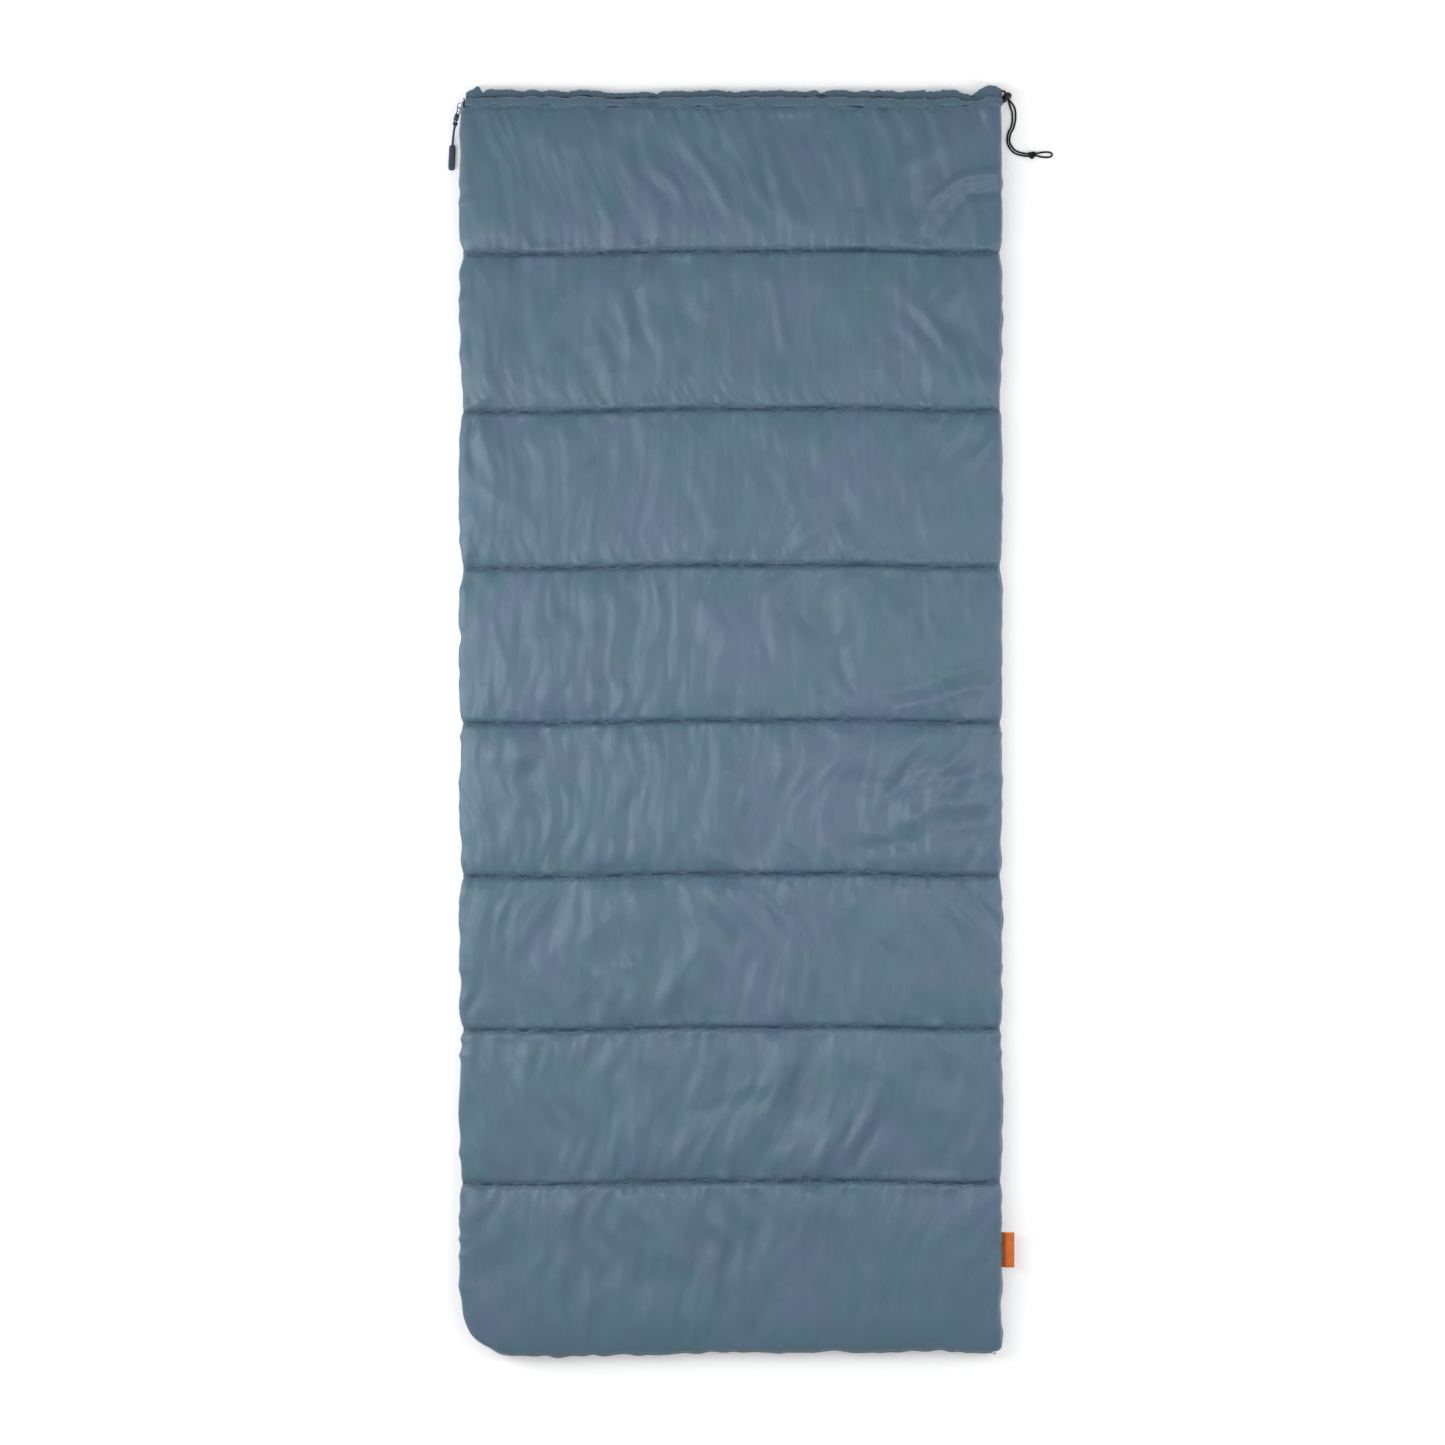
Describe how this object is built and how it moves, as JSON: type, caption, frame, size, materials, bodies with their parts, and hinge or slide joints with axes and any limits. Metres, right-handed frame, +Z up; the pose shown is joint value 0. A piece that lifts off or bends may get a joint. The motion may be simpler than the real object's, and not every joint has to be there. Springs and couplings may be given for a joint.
{
  "type": "rectangular sleeping bag",
  "caption": "Rectangular quilted sleeping bag with a zipped side and foot, draw-cord hems at the mouth and a folded side it opens out about.",
  "frame": {"origin": "on the floor, under the middle of the closed bag", "axes": "+Y towards the head end, +X towards the folded long side, +Z up"},
  "size_m": [0.9372, 1.9527, 0.06],
  "materials": {
    "shell_fabric": "satin",
    "liner_fabric": "satin",
    "insulation": "matte",
    "quilting_thread": "matte",
    "zip_tape": "matte",
    "zip_coil": "satin",
    "zip_metal": "satin",
    "pull_cord": "matte",
    "pull_rubber": "matte",
    "drawcord": "matte",
    "cord_lock_plastic": "satin",
    "spring_steel": "brushed",
    "label_fabric": "matte"
  },
  "bodies": {
    "bottom_quilt": {"bottom_shell": "shell_fabric", "bottom_insulation": "insulation", "bottom_liner": "liner_fabric", "bottom_quilt_thread_1": "quilting_thread", "bottom_quilt_thread_2": "quilting_thread", "bottom_quilt_thread_3": "quilting_thread", "bottom_quilt_thread_4": "quilting_thread", "bottom_quilt_thread_5": "quilting_thread", "bottom_quilt_thread_6": "quilting_thread", "bottom_quilt_thread_7": "quilting_thread", "bottom_hem": "shell_fabric", "bottom_hem_cord": "drawcord", "bottom_zip_tape": "zip_tape", "bottom_zip_coil": "zip_coil", "bottom_zip_top_stop": "zip_metal", "zip_bottom_stop": "zip_metal", "side_fold_strip": "shell_fabric", "side_label": "label_fabric", "drawcord_lower_strand": "drawcord", "drawcord_upper_strand": "drawcord", "drawcord_loop": "drawcord", "drawcord_knot": "drawcord", "cord_lock_body": "cord_lock_plastic", "cord_lock_spring": "spring_steel"},
    "top_quilt": {"top_shell": "shell_fabric", "top_insulation": "insulation", "top_liner": "liner_fabric", "top_quilt_thread_1": "quilting_thread", "top_quilt_thread_2": "quilting_thread", "top_quilt_thread_3": "quilting_thread", "top_quilt_thread_4": "quilting_thread", "top_quilt_thread_5": "quilting_thread", "top_quilt_thread_6": "quilting_thread", "top_quilt_thread_7": "quilting_thread", "top_hem": "shell_fabric", "top_hem_cord": "drawcord", "top_zip_tape": "zip_tape", "top_zip_coil": "zip_coil", "top_zip_top_stop": "zip_metal"},
    "zip_slider": {"zip_slider": "zip_metal", "zip_slider_bridge": "zip_metal"},
    "zip_puller_tab": {"zip_puller_tab": "zip_metal"},
    "zip_pull": {"zip_pull_knot": "pull_cord", "zip_pull_cord": "pull_cord", "zip_pull_grip": "pull_rubber"},
    "cord_lock_button": {"cord_lock_button": "cord_lock_plastic"}
  },
  "joints": [
    {"name": "quilt_opening", "type": "hinge", "parent": "bottom_quilt", "child": "top_quilt", "pos_m": [0.4198, 0, 0.035], "axis": [0, 1, 0], "range_deg": [0, 180], "deforming": ["side_fold_strip", "side_label", "drawcord_upper_strand"]},
    {"name": "zip_travel", "type": "slide", "parent": "bottom_quilt", "child": "zip_slider", "axis": [0, -1, 0], "range_m": [0, 1.8]},
    {"name": "puller_tab_flip", "type": "hinge", "parent": "zip_slider", "child": "zip_puller_tab", "pos_m": [-0.4179, 0.945, 0.03], "axis": [0, 0, -1], "range_deg": [0, 110]},
    {"name": "pull_swing", "type": "hinge", "parent": "zip_puller_tab", "child": "zip_pull", "pos_m": [-0.424, 0.9262, 0.03], "axis": [0, 0, -1], "range_deg": [0, 45]},
    {"name": "cord_lock_press", "type": "slide", "parent": "bottom_quilt", "child": "cord_lock_button", "axis": [0.8638, 0.5039, 0], "range_m": [0, 0.0016], "stiffness_N_per_m": 200, "springref_m": -0.004, "deforming": ["cord_lock_spring"]}
  ]
}
